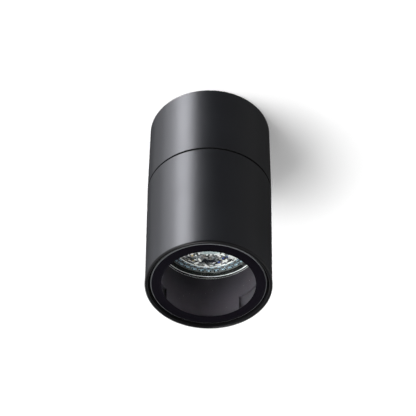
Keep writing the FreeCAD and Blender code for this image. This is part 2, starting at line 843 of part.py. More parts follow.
def lamp_shell():
    """Finned metal body: a rim behind the lens, an inside step for the board and a tapering back."""
    rim = lamp_z(lens_edge)
    board = lamp_z(board_depth)
    floor = board + board_thickness
    waist = shell_waist_radius + (lamp_radius - shell_waist_radius) * shell_shoulder_radius_share
    shoulder = rim_depth + (shell_waist_depth - rim_depth) * shell_shoulder_depth_share
    body = turned((lamp_radius - rim_wall, rim), (lamp_radius, rim, lens_edge_round),
                  (lamp_radius, lamp_z(rim_depth), rim_depth / 2), (waist, lamp_z(shoulder), rim_depth),
                  (shell_waist_radius, lamp_z(shell_waist_depth), rim_depth / 2),
                  (shell_waist_radius, lamp_z(shell_end_depth)), (0, lamp_z(shell_end_depth)), (0, floor),
                  (board_radius + slide_gap, floor), (board_radius + slide_gap, board),
                  (lamp_radius - rim_wall, lamp_z(rim_depth)))
    return body.cut([shell_groove(n * 360 / shell_fin_count) for n in range(shell_fin_count)])


def shell_groove(angle_deg):
    """Cutter for the cooling groove between two fins."""
    low = lamp_z(shell_fin_foot)
    inside = shell_waist_radius - shell_fin_depth
    high = lamp_z(shell_waist_depth)
    corners = [(V(inside, 0, high), 0), (V(lamp_radius, 0, high), 0), (V(lamp_radius, 0, low), 0),
               (V(lamp_radius - shell_fin_depth, 0, low), 0)]
    plate = flat_face(corners).extrude(V(0, shell_fin_width, 0)).translated(V(0, -shell_fin_width / 2, 0))
    return spun(plate, angle_deg)


def led_board():
    """Round board in the shell's step."""
    low = lamp_z(board_depth)
    return disc(board_radius, low, low + board_thickness)


def led_chip():
    """Round light source in the middle of the board, inside the lens's pocket."""
    board = lamp_z(board_depth)
    return disc(chip_radius, board - chip_height, board)


def lamp_base():
    """White insulating base with a narrower end that seats in the holder's face."""
    start = lamp_z(shell_end_depth)
    step = lamp_z(lamp_length - base_end_length)
    end = lamp_z(lamp_length)
    return turned((0, start), (base_radius, start), (base_radius, step, base_round), (base_end_radius, step),
                  (base_end_radius, end - base_bevel), (base_end_radius - base_bevel, end), (0, end))


def lamp_pins():
    """Two button-headed pins that lock behind the holder's slots."""
    start = lamp_z(lamp_length)
    end = start + pin_length
    neck = end - pin_head_length
    pin = turned((0, start), (pin_radius, start), (pin_radius, neck), (pin_head_radius, neck),
                 (pin_head_radius, end - pin_head_bevel), (pin_head_radius - pin_head_bevel, end), (0, end))
    return [inner(pin.translated(V(x, 0, 0))) for x in both_ways(pin_spacing)]


def save(name, shape):
    """Write one node's solid, or its group of solids, as a STEP file."""
    if isinstance(shape, (list, tuple)):
        shape = Part.makeCompound(list(shape))
    shape.exportStep("parts/" + name + ".step")


def main():
    os.makedirs("parts", exist_ok=True)
    poles = both_ways(pole_pitch)
    save("upper_housing", upper_housing())
    save("ceiling_gasket", ceiling_gasket())
    save("cable_grommet", cable_grommet())
    save("holder_bracket", bracket())
    save("bracket_screws", bracket_screws())
    save("lamp_holder", lamp_holder())
    save("holder_back", holder_back())
    save("holder_contacts", holder_contacts())
    save("holder_screws", holder_screws())
    save("holder_nuts", holder_nuts())
    save("terminal_block", terminal_block())
    save("terminal_tubes", terminal_tubes())
    save("terminal_screws", terminal_screws())
    save("block_screw", block_screw())
    save("live_lead", lamp_lead(poles[0]))
    save("neutral_lead", lamp_lead(poles[1]))
    save("earth_lead", earth_lead())
    save("earth_lug", earth_lug())
    save("earth_screw", earth_screw())
    save("seam_seal", seam_seal())
    save("lower_housing", lower_housing())
    save("antiglare_sleeve", antiglare_sleeve())
    save("sleeve_snap_ring", sleeve_snap_ring())
    save("glass_gasket", glass_gasket())
    save("cover_glass", cover_glass())
    save("glass_border", glass_border())
    save("glass_sealant", glass_sealant())
    save("front_bezel", front_bezel())
    save("lamp_lens", lamp_lens())
    save("lamp_shell", lamp_shell())
    save("led_board", led_board())
    save("led_chip", led_chip())
    save("lamp_base", lamp_base())
    save("lamp_pins", lamp_pins())


main()
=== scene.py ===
import bmesh
import bpy
import math
import random
from mathutils import Matrix, Quaternion, Vector


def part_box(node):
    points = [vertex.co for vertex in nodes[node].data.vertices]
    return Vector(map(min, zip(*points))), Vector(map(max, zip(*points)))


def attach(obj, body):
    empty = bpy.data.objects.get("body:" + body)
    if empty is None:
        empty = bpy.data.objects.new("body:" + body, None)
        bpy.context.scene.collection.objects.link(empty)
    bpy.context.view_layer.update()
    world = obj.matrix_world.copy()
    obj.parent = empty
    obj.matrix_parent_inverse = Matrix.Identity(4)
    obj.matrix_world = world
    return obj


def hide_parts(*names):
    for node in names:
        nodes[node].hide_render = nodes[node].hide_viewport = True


# Looks of the outdoor ceiling light. Metres, in the same frame as the CAD: the ceiling is z = 0.

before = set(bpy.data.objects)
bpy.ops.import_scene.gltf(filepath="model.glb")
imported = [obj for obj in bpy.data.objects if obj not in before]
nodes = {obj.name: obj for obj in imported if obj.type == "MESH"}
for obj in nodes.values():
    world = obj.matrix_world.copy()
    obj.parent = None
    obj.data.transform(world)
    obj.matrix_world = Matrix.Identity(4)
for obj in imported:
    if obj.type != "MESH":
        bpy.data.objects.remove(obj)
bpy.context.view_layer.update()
scene = bpy.context.scene
mm = 0.001
micron = 0.001 * mm


# Places taken from the CAD pieces

glass_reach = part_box("cover_glass")[1].x
lens_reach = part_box("lamp_lens")[1].x
lamp_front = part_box("lamp_lens")[0].z
lens_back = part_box("lamp_shell")[0].z
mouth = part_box("front_bezel")[0].z
seam_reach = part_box("lower_housing")[1].x
seam_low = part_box("lower_housing")[1].z
seam_high = seam_low + 0.5 * mm
seam_middle = (seam_low + seam_high) / 2


# Camera: a pinhole camera fitted to the photograph's three rims

frame_pixels = 416
focal_pixels = 2109.1
sensor_width = 36
cam_distance = 1.02228
cam_elevation = math.radians(45.1189126)
cam_yaw = 0.000618417
cam_pitch = -0.000129344
cam_roll = -0.00906225
aim = Vector((0, 0, -0.0521630))


def make_camera():
    """Camera below the light, looking up at it."""
    forward = Vector((0, math.cos(cam_elevation), math.sin(cam_elevation)))
    right = Vector((1, 0, 0))
    up = right.cross(forward)
    place = aim - forward * cam_distance
    turn = Matrix.Rotation(cam_yaw, 3, up)
    forward, right = turn @ forward, turn @ right
    turn = Matrix.Rotation(cam_pitch, 3, right)
    forward, up = turn @ forward, turn @ up
    turn = Matrix.Rotation(cam_roll, 3, forward)
    right, up = turn @ right, turn @ up
    data = bpy.data.cameras.new("camera")
    data.sensor_width = sensor_width
    data.lens = focal_pixels * sensor_width / frame_pixels
    data.clip_start, data.clip_end = 0.01, 100
    camera = bpy.data.objects.new("camera", data)
    scene.collection.objects.link(camera)
    basis = Matrix((right, up, -forward)).transposed()
    camera.matrix_world = Matrix.Translation(place) @ basis.to_4x4()
    scene.camera = camera


make_camera()
scene.view_settings.view_transform = "Standard"


# Small helpers for node trees

class Tree:
    """A node tree under construction: add nodes, join sockets."""

    def __init__(self, owner):
        owner.use_nodes = True
        self.tree = owner.node_tree
        self.tree.nodes.clear()

    def add(self, kind, settings=None, **inputs):
        """New node. An input is named with _ for each space, or by its place as at_0, at_1 and so on."""
        node = self.tree.nodes.new(kind)
        for key, value in (settings or {}).items():
            setattr(node, key, value)
        for key, value in inputs.items():
            socket = node.inputs[int(key[3:]) if key.startswith("at_") else key.replace("_", " ")]
            if isinstance(value, bpy.types.NodeSocket):
                self.tree.links.new(value, socket)
            else:
                socket.default_value = value
        return node

    def place(self):
        """Place of the shaded point in the light's own frame, at rest."""
        return self.add("ShaderNodeTexCoord").outputs["Object"]

    def noise(self, size, detail=3.0, rough=0.5):
        """Noise whose lumps are about size metres across."""
        return self.add("ShaderNodeTexNoise", Vector=self.place(), Scale=1 / size, Detail=detail,
                        Roughness=rough).outputs["Fac"]

    def between(self, value, low, high, start=0.3, end=0.7):
        """A value from low to high as value goes from start to end."""
        return self.add("ShaderNodeMapRange", Value=value, From_Min=start, From_Max=end,
                        To_Min=low, To_Max=high).outputs[0]

    def blend(self, factor, first, second):
        """Colour between first and second."""
        mix = self.add("ShaderNodeMix", {"data_type": "RGBA"}, at_0=factor, at_6=first, at_7=second)
        return mix.outputs[2]

    def mix(self, factor, first, second):
        """Shader between first and second."""
        return self.add("ShaderNodeMixShader", at_0=factor, at_1=first, at_2=second).outputs[0]

    def math(self, what, first, second=0.0):
        """Result of one operation on one or two values."""
        return self.add("ShaderNodeMath", {"operation": what}, at_0=first, at_1=second).outputs[0]

    def mottle(self, broad, fine):
        """Broad and fine noise together, spread from 0 to 1."""
        both = self.math("ADD", self.math("MULTIPLY", broad, 0.6), self.math("MULTIPLY", fine, 0.4))
        return self.between(both, 0, 1)

    def radius(self):
        """Distance from the light's axis."""
        flat = self.add("ShaderNodeVectorMath", {"operation": "MULTIPLY"}, at_0=self.place(), at_1=(1, 1, 0))
        length = self.add("ShaderNodeVectorMath", {"operation": "LENGTH"}, at_0=flat.outputs[0])
        return length.outputs["Value"]

    def height(self):
        """Height in the light's frame, 0 at the ceiling."""
        return self.add("ShaderNodeSeparateXYZ", Vector=self.place()).outputs[2]

    def bump(self, height, depth):
        """Normal of a grain that is depth metres deep."""
        return self.add("ShaderNodeBump", Height=height, Distance=depth).outputs[0]

    def principled(self, **inputs):
        """Principled shader with the given inputs."""
        return self.add("ShaderNodeBsdfPrincipled", **inputs).outputs[0]

    def surface(self, shader):
        """Makes the shader the material's surface."""
        self.add("ShaderNodeOutputMaterial", Surface=shader)


def rgb(*values):
    """Colour of three channels, opaque."""
    return (*values, 1)


def grey(value):
    """Colour with the same value in its three channels, opaque."""
    return rgb(value, value, value)


def new_material(name):
    """New material and its empty node tree."""
    made = bpy.data.materials.new(name)
    return made, Tree(made)


# Finishes

def finish_of(name, dark, light, rough, grain, depth, **fixed):
    """A material whose tone, roughness and grain vary a little over the surface."""
    made, t = new_material(name)
    grains_per_patch = 28
    broad = t.noise(grain * grains_per_patch)
    fine = t.noise(grain, rough=0.6)
    t.surface(t.principled(Base_Color=t.blend(t.mottle(broad, fine), rgb(*dark), rgb(*light)),
                           Roughness=t.between(broad, *rough), Normal=t.bump(fine, depth), **fixed))
    return made


def clear_of(name, tint, ior, haze_size, haze, ground, pale):
    """A clear material that lets the lamps' light through, with a trace of haze and pale edges: ground on
    the glass, and a painted highlight on the optic.
    """
    made, t = new_material(name)
    cloud = t.between(t.noise(haze_size, detail=4.0), 0.0, haze, 0.45, 0.75)
    clear = t.principled(Base_Color=rgb(*tint), Roughness=cloud, IOR=ior, Transmission_Weight=1.0)
    through = t.add("ShaderNodeBsdfTransparent", Color=rgb(*tint)).outputs[0]
    shadow_ray = t.add("ShaderNodeLightPath").outputs["Is Shadow Ray"]
    grit = t.noise(0.5 * mm)
    # Pale edge finish: the glass's ground edge, and on the optic a painted highlight.
    frost_and_highlight = t.principled(Roughness=0.7, Normal=t.bump(grit, 10 * micron),
                         Base_Color=t.blend(grit, rgb(*(0.8 * v for v in pale)), rgb(*pale)))
    t.surface(t.mix(ground(t), t.mix(shadow_ray, clear, through), frost_and_highlight))
    return made


def glass_edge(t):
    """The ground bevel and rim of the glass."""
    return t.between(t.radius(), 0.0, 1.0, glass_reach - 0.53 * mm, glass_reach - 0.49 * mm)


def optic_edge(t):
    """The two edges of the optic's disc, painted pale: a painted highlight of two bright lines that the
    lamps light.
    """
    rim = t.between(t.radius(), 0.0, 1.0, lens_reach - 0.28 * mm, lens_reach - 0.22 * mm)
    height = t.height()
    front = t.between(height, 1.0, 0.0, lamp_front + 0.32 * mm, lamp_front + 0.40 * mm)
    back = t.between(height, 0.0, 1.0, lens_back - 0.20 * mm, lens_back - 0.14 * mm)
    return t.math("MULTIPLY", rim, t.math("MAXIMUM", front, back))


def shell_metal():
    """Bright metal outside and black inside, where the optic sits."""
    made, t = new_material("lamp_metal")
    cone_start = lamp_front + 6.5 * mm
    cone_slope = 1.1
    cone_reach = 23.3 * mm
    height = t.height()
    depth = t.math("MAXIMUM", t.math("SUBTRACT", height, cone_start), 0.0)
    slope = t.math("ADD", t.radius(), t.math("MULTIPLY", depth, cone_slope))
    within = t.between(slope, 1.0, 0.0, cone_reach - 0.05 * mm, cone_reach + 0.05 * mm)
    rim = t.between(height, 1.0, 0.0, lens_back + 0.1 * mm, lens_back + 0.2 * mm)
    black = t.math("MAXIMUM", within, rim)
    broad = t.noise(14 * mm)
    fine = t.noise(0.5 * mm, rough=0.6)
    bright = t.blend(fine, rgb(0.52, 0.53, 0.56), rgb(0.66, 0.67, 0.70))
    dark = t.blend(fine, rgb(0.009, 0.010, 0.010), rgb(0.026, 0.029, 0.028))
    t.surface(t.principled(Base_Color=t.blend(black, bright, dark), Metallic=t.math("SUBTRACT", 1.0, black),
                           Roughness=t.between(broad, 0.22, 0.34), Normal=t.bump(fine, 6 * micron)))
    return made


def body_coat():
    """Satin black coat outside, with painted shade along the seam: a near-black, matt band on its lips; and
    the matt, paler bore behind the sleeve.
    """
    made, t = new_material("black_coat")
    bore_reach = 27.0 * mm
    seam_shade_reach = 0.60 * mm
    bore = t.between(t.radius(), 1.0, 0.0, bore_reach, bore_reach + 0.2 * mm)
    # Painted shade: the coat turns near black and matt within about 0.6 mm of the seam's middle, which
    # widens the seam's dark shadow line.
    off = t.math("ABSOLUTE", t.math("SUBTRACT", t.height(), seam_middle))
    lip = t.math("MULTIPLY", t.between(off, 1.0, 0.0, seam_shade_reach, seam_shade_reach + 0.06 * mm),
                 t.math("SUBTRACT", 1.0, bore))
    broad = t.noise(20 * mm)
    fine = t.noise(0.7 * mm, rough=0.6)
    mottle = t.mottle(broad, fine)
    coat = t.blend(mottle, rgb(0.0076, 0.0081, 0.0098), rgb(0.0102, 0.0108, 0.0130))
    raw = t.blend(mottle, rgb(0.023, 0.0205, 0.0255), rgb(0.031, 0.028, 0.034))
    tone = t.blend(lip, t.blend(bore, coat, raw), rgb(0.0015, 0.0015, 0.0016))
    matt = t.math("ADD", t.math("MULTIPLY", bore, 0.25), t.math("MULTIPLY", lip, 0.55))
    t.surface(t.principled(Base_Color=tone, Roughness=t.math("ADD", t.between(broad, 0.37, 0.40), matt),
                           Normal=t.bump(fine, 6 * micron)))
    return made


def matt_liner():
    """Matt black of the antiglare sleeve, with painted light: paler towards the glass, where the printed
    border's shadow falls on it.
    """
    made, t = new_material("sleeve_black")
    # Painted light: the sleeve is paler from 26 mm down to 9 mm above the mouth and below, in place of light
    # that the border's shadow keeps off it.
    low = t.between(t.height(), 1.0, 0.0, mouth + 9 * mm, mouth + 26 * mm)
    fine = t.noise(0.4 * mm, rough=0.6)
    broad = t.noise(9 * mm)
    deep = t.blend(fine, rgb(0.0170, 0.0152, 0.0187), rgb(0.0235, 0.0210, 0.0258))
    pale = t.blend(fine, rgb(0.0290, 0.0260, 0.0320), rgb(0.0380, 0.0340, 0.0415))
    t.surface(t.principled(Base_Color=t.blend(low, deep, pale), Roughness=t.between(broad, 0.62, 0.72),
                           Normal=t.bump(fine, 10 * micron), Specular_IOR_Level=0.15))
    return made


def ridged_smoke():
    """Dark smoked plastic, paler towards the optic's edge."""
    made, t = new_material("smoked_ring")
    outward = t.between(t.radius(), 0.0, 1.0, 20.8 * mm, 22.4 * mm)
    broad = t.noise(1.2 * mm)
    inner = t.blend(broad, rgb(0.007, 0.008, 0.008), rgb(0.016, 0.018, 0.018))
    outer = t.blend(broad, rgb(0.018, 0.020, 0.020), rgb(0.056, 0.061, 0.060))
    t.surface(t.principled(Base_Color=t.blend(outward, inner, outer), Roughness=t.between(broad, 0.34, 0.46),
                           Normal=t.bump(broad, 20 * micron)))
    return made


def facet_mirror():
    """Metallised facets whose tone, stored with each of them, is painted sparkle and reflections of the
    optic.
    """
    made, t = new_material("facet_mirror")
    tone = t.add("ShaderNodeAttribute", {"attribute_name": "tone"}).outputs["Color"]
    fine = t.noise(0.4 * mm)
    worn = t.blend(t.between(fine, 0.0, 0.3), tone, rgb(0.004, 0.004, 0.005))
    t.surface(t.principled(Base_Color=worn, Metallic=0.35, Roughness=t.between(fine, 0.26, 0.36),
                           Normal=t.bump(fine, 20 * micron)))
    return made


def striped_sleeve():
    """Green sleeve of the earth lead with a yellow stripe wound round it."""
    made, t = new_material("earth_sleeve")
    wave = t.add("ShaderNodeTexWave", {"wave_type": "BANDS", "bands_direction": "DIAGONAL"},
                 Vector=t.place(), Scale=90.0, Distortion=0.4, Detail=1.0).outputs["Fac"]
    fine = t.noise(0.5 * mm)
    green = t.blend(fine, rgb(0.04, 0.24, 0.05), rgb(0.07, 0.32, 0.08))
    yellow = t.blend(fine, rgb(0.70, 0.52, 0.03), rgb(0.82, 0.64, 0.06))
    t.surface(t.principled(Base_Color=t.blend(t.between(wave, 0.0, 1.0, 0.56, 0.60), green, yellow),
                           Roughness=t.between(fine, 0.38, 0.5), Normal=t.bump(fine, 10 * micron)))
    return made


def porous_foam():
    """Grey foam with fine open cells."""
    made, t = new_material("grey_foam")
    cells = t.add("ShaderNodeTexVoronoi", {"feature": "F1"}, Vector=t.place(),
                  Scale=2600.0).outputs["Distance"]
    pit = t.between(cells, 0.0, 1.0, 0.12, 0.42)
    broad = t.noise(3 * mm)
    wall = t.blend(broad, rgb(0.050, 0.052, 0.055), rgb(0.085, 0.087, 0.090))
    t.surface(t.principled(Base_Color=t.blend(pit, rgb(0.012, 0.012, 0.013), wall),
                           Roughness=t.between(broad, 0.85, 0.95), Normal=t.bump(pit, 80 * micron)))
    return made


materials = {
    "black_coat": body_coat(),
    "bezel_coat": finish_of("bezel_coat", (0.0040, 0.0040, 0.0044), (0.0065, 0.0065, 0.0070),
                            (0.28, 0.34), 0.5 * mm, 5 * micron, Specular_IOR_Level=0.19),
    "sleeve_black": matt_liner(),
    "black_silicone": finish_of("black_silicone", (0.0018, 0.0018, 0.0019), (0.0032, 0.0032, 0.0033),
                                (0.8, 0.9), 0.4 * mm, 10 * micron, Specular_IOR_Level=0.01),
    "grey_foam": porous_foam(),
    "grommet_rubber": finish_of("grommet_rubber", (0.012, 0.012, 0.012), (0.022, 0.022, 0.021),
                                (0.55, 0.7), 0.5 * mm, 20 * micron),
    "black_enamel": finish_of("black_enamel", (0.0028, 0.0024, 0.0037), (0.0042, 0.0037, 0.0054),
                              (0.10, 0.14), 0.6 * mm, 3 * micron),
    "lamp_metal": shell_metal(),
    "white_board": finish_of("white_board", (0.70, 0.71, 0.70), (0.80, 0.81, 0.80),
                             (0.34, 0.44), 0.4 * mm, 8 * micron),
    "yellow_phosphor": finish_of("yellow_phosphor", (0.72, 0.50, 0.05), (0.86, 0.68, 0.12),
                                 (0.45, 0.6), 0.2 * mm, 20 * micron),
    "lamp_white": finish_of("lamp_white", (0.66, 0.66, 0.64), (0.74, 0.74, 0.72),
                            (0.32, 0.42), 0.6 * mm, 8 * micron),
    "plated_pin": finish_of("plated_pin", (0.60, 0.59, 0.56), (0.74, 0.73, 0.70),
                            (0.18, 0.3), 0.4 * mm, 6 * micron, Metallic=1.0),
    "white_ceramic": finish_of("white_ceramic", (0.66, 0.65, 0.61), (0.76, 0.75, 0.71),
                               (0.38, 0.55), 0.5 * mm, 20 * micron),
    "bare_brass": finish_of("bare_brass", (0.60, 0.40, 0.13), (0.74, 0.52, 0.20),
                            (0.24, 0.38), 0.4 * mm, 10 * micron, Metallic=1.0),
    "zinc_steel": finish_of("zinc_steel", (0.46, 0.47, 0.48), (0.62, 0.63, 0.64),
                            (0.26, 0.42), 0.8 * mm, 12 * micron, Metallic=1.0),
    "block_white": finish_of("block_white", (0.60, 0.60, 0.57), (0.70, 0.70, 0.67),
                             (0.42, 0.55), 0.6 * mm, 10 * micron),
    "brown_lead": finish_of("brown_lead", (0.10, 0.045, 0.022), (0.14, 0.065, 0.034),
                            (0.38, 0.5), 0.5 * mm, 10 * micron),
    "blue_lead": finish_of("blue_lead", (0.03, 0.10, 0.30), (0.05, 0.14, 0.38),
                           (0.38, 0.5), 0.5 * mm, 10 * micron),
    "earth_sleeve": striped_sleeve(),
    "clear_glass": clear_of("clear_glass", (0.985, 1.0, 0.99), 1.5, 4 * mm, 0.02, glass_edge,
                            (0.095, 0.100, 0.105)),
    # The optic's pale edges are a painted highlight: two bright lines at its rim.
    "clear_optic": clear_of("clear_optic", (1.0, 1.0, 1.0), 1.49, 3 * mm, 0.03, optic_edge,
                            (0.75, 0.77, 0.78)),
}


def dress():
    """Gives each CAD node the finish of its slot in the record."""
    for name, ob in nodes.items():
        for slot in ob.material_slots:
            base = slot.material.name.split(".")[0]
            if base in materials:
                slot.material = materials[base]
            else:
                print("no finish for", name, slot.material.name)


dress()


# Helpers for turned and free meshes

def arc(radius, height, size, start_deg, end_deg, steps):
    """Points (radius, z) along an arc, in metres."""
    points = []
    for n in range(steps + 1):
        a = math.radians(start_deg + (end_deg - start_deg) * n / steps)
        points.append((radius + size * math.cos(a), height + size * math.sin(a)))
    return points


def shown(name, places, faces, finish, smooth=True):
    """Mesh object of the given places and faces, with one finish."""
    data = bpy.data.meshes.new(name)
    data.from_pydata(places, [], faces)
    if smooth:
        data.polygons.foreach_set("use_smooth", [True] * len(data.polygons))
        data.set_sharp_from_angle(angle=math.radians(35))
    data.materials.append(finish)
    ob = bpy.data.objects.new(name, data)
    scene.collection.objects.link(ob)
    return ob


def turned(name, profile, finish):
    """Piece turned about Z from a closed outline of (radius, z)."""
    count = 192
    places = []
    for n in range(count):
        a = 2 * math.pi * n / count
        places += [(r * math.cos(a), r * math.sin(a), z) for r, z in profile]
    size = len(profile)
    faces = []
    for n in range(count):
        here, after = n * size, (n + 1) % count * size
        for k in range(size):
            m = (k + 1) % size
            faces.append((here + k, after + k, after + m, here + m))
    return shown(name, places, faces, finish)


# Finely turned bezel in the place of the CAD one, and the bead in the seam

def add_bezel():
    """The ring round the mouth: a flat lip, a soft inner edge and a blunt outer one."""
    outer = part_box("front_bezel")[1].x
    inner = glass_reach + 1.1 * mm
    spigot = glass_reach + 1.5 * mm
    top = mouth + 3.5 * mm
    shoulder = mouth + 1.0 * mm
    soft, blunt = 0.45 * mm, 0.8 * mm
    profile = [(inner, top)]
    profile += arc(inner + soft, mouth + soft, soft, 180, 270, 9)
    profile += arc(outer - blunt, mouth + blunt, blunt, 270, 360, 12)
    profile += [(outer, shoulder), (spigot, shoulder), (spigot, top)]
    bezel = turned("turned_bezel", profile, materials["bezel_coat"])
    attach(bezel, "lower_light")
    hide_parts("front_bezel")


def add_seam_bead():
    """The seal's bead, which fills the groove of the seam almost flush."""
    root = seam_reach - 0.60 * mm
    throat = seam_reach - 0.27 * mm
    waist = seam_reach - 0.09 * mm
    lip = seam_reach - 0.03 * mm
    slack = 0.02 * mm
    flare = 0.20 * mm
    profile = [(root, seam_high - slack), (root, seam_low + slack), (throat, seam_low + slack),
               (lip, seam_low - flare), (waist, seam_middle), (lip, seam_high + flare),
               (throat, seam_high - slack)]
    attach(turned("seam_bead", profile, materials["black_silicone"]), "seal_ring")


add_bezel()
add_seam_bead()


# Inside of the lamp's optic: a metallised cup of facets with painted sparkle, a dark shade, a bright ring
# and small plates, the last two painted highlight and glints

# Radii, and depths behind the lamp's front, are in millimetres in this section
cone_front, cone_depth, cone_reach = 1.5, 12.3, 18.4
# The cone's outline: share of its depth, and radius as a share of its reach
cone_shares = ((0.0, 1.0), (0.15, 0.94), (0.32, 0.85), (0.49, 0.74), (0.66, 0.62), (0.83, 0.49), (1.0, 0.36))
facet_rows, facets_round = 17, 84
facet_start, facet_end = 3.3, 13.5
facet_gap = 0.8
facet_tilt = 0.2


def cup_radius(depth):
    """Radius of the optic's cone at a depth, along the straight runs of its outline."""
    share = (depth - cone_front) / cone_depth
    for (low, wide), (high, narrow) in zip(cone_shares, cone_shares[1:]):
        if share <= high:
            return cone_reach * (wide + (narrow - wide) * (share - low) / (high - low))
    return cone_reach * cone_shares[-1][1]


def facet_painted_tone(chance, azimuth, depth):
    """Tone of one facet: painted sparkle and reflections of the optic, calm in the middle of the far side
    and lively to both sides.

    The azimuth is in degrees from the middle of the far side, to the right when it is above 0.
    """
    # Painted reflections: a dark spot in the middle of the far side, and a pale band at its foot.
    painted_dark_reflection, painted_pale_reflection = rgb(0.002, 0.003, 0.010), rgb(0.42, 0.50, 0.51)
    blue_glint, yellow_glint = rgb(0.015, 0.05, 0.30), rgb(0.72, 0.55, 0.22)
    blue_share, yellow_share = 0.10, 0.07
    if abs(azimuth) < 12 and 5.5 < depth < 7.1:
        return painted_dark_reflection
    if abs(azimuth) < 30 and depth > 9.5:
        return painted_pale_reflection
    draw = chance.random()
    # Painted glints: blue to the right and yellow to the left, and white facets that sparkle more to the
    # sides and more to the right.
    if 12 < azimuth < 40 and 5.0 < depth < 8.0 and draw < blue_share:
        return blue_glint
    if -52 < azimuth < -22 and 4.5 < depth < 8.5 and draw < yellow_share:
        return yellow_glint
    lively_from = 46
    side = min(1.0, abs(azimuth) / lively_from)
    more_painted_sparkle_on_the_right = 0.14 * side if azimuth > 0 else 0.0
    painted_sparkle_share = 0.11 + 0.45 * side ** 2 + more_painted_sparkle_on_the_right
    white_or_grey_share = 0.80 - 0.08 * side
    if draw < painted_sparkle_share:
        return grey(chance.uniform(0.88, 0.99))
    if draw < white_or_grey_share:
        level = chance.uniform(0.08, 0.31)
        warm = chance.uniform(-0.16, 0.12)
        return rgb(level * (1 + warm), level, level * (1 - warm))
    dark = chance.uniform(0.004, 0.02)
    return rgb(dark, dark * 1.05, dark * 1.1)


def add_facets():
    """Cup of flat facets behind the optic's cone, each tilted a little its own way."""
    chance = random.Random(7)
    places, faces, tones = [], [], []
    step = (facet_end - facet_start) / facet_rows
    for row in range(facet_rows):
        near, far = facet_start + step * row, facet_start + step * (row + 1)
        shift = 0.5 * (row % 2)
        for n in range(facets_round):
            low = 2 * math.pi * (n + shift) / facets_round
            high = 2 * math.pi * (n + shift + 1) / facets_round
            tilt_a = chance.uniform(-facet_tilt, facet_tilt)
            tilt_b = chance.uniform(-facet_tilt, facet_tilt)
            corner = len(places)
            corners = (low, near, -1, -1), (high, near, 1, -1), (high, far, 1, 1), (low, far, -1, 1)
            for a, depth, u, v in corners:
                r = cup_radius(depth) + facet_gap + tilt_a * u + tilt_b * v
                places.append((r * math.sin(a) * mm, r * math.cos(a) * mm, lamp_front + depth * mm))
            faces.append(tuple(range(corner, corner + 4)))
            azimuth = math.degrees((low + high) / 2)
            azimuth = azimuth - 360 if azimuth > 180 else azimuth
            tones.append(facet_painted_tone(chance, azimuth, (near + far) / 2))
    cup = shown("lens_facets", places, faces, facet_mirror(), smooth=False)
    layer = cup.data.color_attributes.new("tone", "FLOAT_COLOR", "CORNER")
    layer.data.foreach_set("color", [value for tone in tones for corner in range(4) for value in tone])
    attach(cup, "lamp")


def add_shade():
    """Dark ring with fine ridges behind the optic's brim."""
    low, high = 17.9, 22.9
    front, back = 3.75, 4.3
    ridges, ridge_height = 10, 0.14
    profile = []
    for n in range(ridges * 2 + 1):
        r = low + (high - low) * n / (ridges * 2)
        profile.append((r * mm, lamp_front + (front + ridge_height * (n % 2)) * mm))
    profile += [(high * mm, lamp_front + back * mm), (low * mm, lamp_front + back * mm)]
    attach(turned("lens_shade", profile, ridged_smoke()), "lamp")


def add_bright_ring():
    """Thin near-white ring at the foot of the cone, a painted highlight for the bright line at the optic's
    edge.
    """
    radius, depth, size = 18.35, 3.3, 0.16
    profile = arc(radius * mm, lamp_front + depth * mm, size * mm, 0, 330, 11)
    # Painted highlight: a near-white, half-metal finish that makes the ring shine as a bright line.
    ring_highlight = finish_of("ring_painted_highlight", (0.82, 0.85, 0.86), (0.94, 0.96, 0.96), (0.3, 0.42),
                       0.6 * mm, 10 * micron, Metallic=0.4)
    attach(turned("lens_ring", profile, ring_highlight), "lamp")


def add_dashes():
    """Small bluish plates, painted glints of the optic's pillows: one behind each pillow, and a narrower row
    inside them.
    """
    count = 72
    front, back = 3.62, 3.72
    # Inner radius, outer radius and half the length of each kind
    behind_pillow, inside_them = (20.65, 21.45, 1.25), (19.2, 19.6, 0.9)
    sides = ((3, 2, 1, 0), (4, 5, 6, 7), (0, 1, 5, 4), (1, 2, 6, 5), (2, 3, 7, 6), (3, 0, 4, 7))
    places, faces = [], []
    for n in range(count):
        a = 2 * math.pi * n / count
        near, far, half = inside_them if n % 2 else behind_pillow
        out = Vector((math.cos(a), math.sin(a), 0))
        along = Vector((-math.sin(a), math.cos(a), 0))
        corner = len(places)
        for z in (front, back):
            for u, v in ((near, -half), (far, -half), (far, half), (near, half)):
                places.append(out * u * mm + along * v * mm + Vector((0, 0, lamp_front + z * mm)))
        faces += [tuple(corner + k for k in side) for side in sides]
    # Painted glints: pale bluish plates that the pillows show as bright dashes.
    blue = finish_of("plate_blue", (0.10, 0.19, 0.26), (0.30, 0.43, 0.52), (0.25, 0.38),
                     0.3 * mm, 10 * micron)
    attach(shown("lens_dashes", places, faces, blue, smooth=False), "lamp")


add_facets()
add_shade()
add_bright_ring()
add_dashes()


# Ceiling, world and lamps

def ceiling_mesh():
    """Flat rings that start just inside the edge of the light's own face."""
    count = 96
    radii = (0.0293, 0.06, 0.15, 0.6, 4.0)
    grid = bmesh.new()
    rings = []
    for radius in radii:
        rings.append([grid.verts.new((radius * math.cos(a), radius * math.sin(a), 0))
                      for a in (2 * math.pi * n / count for n in range(count))])
    for inside, outside in zip(rings, rings[1:]):
        for n in range(count):
            m = (n + 1) % count
            grid.faces.new((inside[n], inside[m], outside[m], outside[n]))
    data = bpy.data.meshes.new("ceiling")
    grid.to_mesh(data)
    grid.free()
    return data


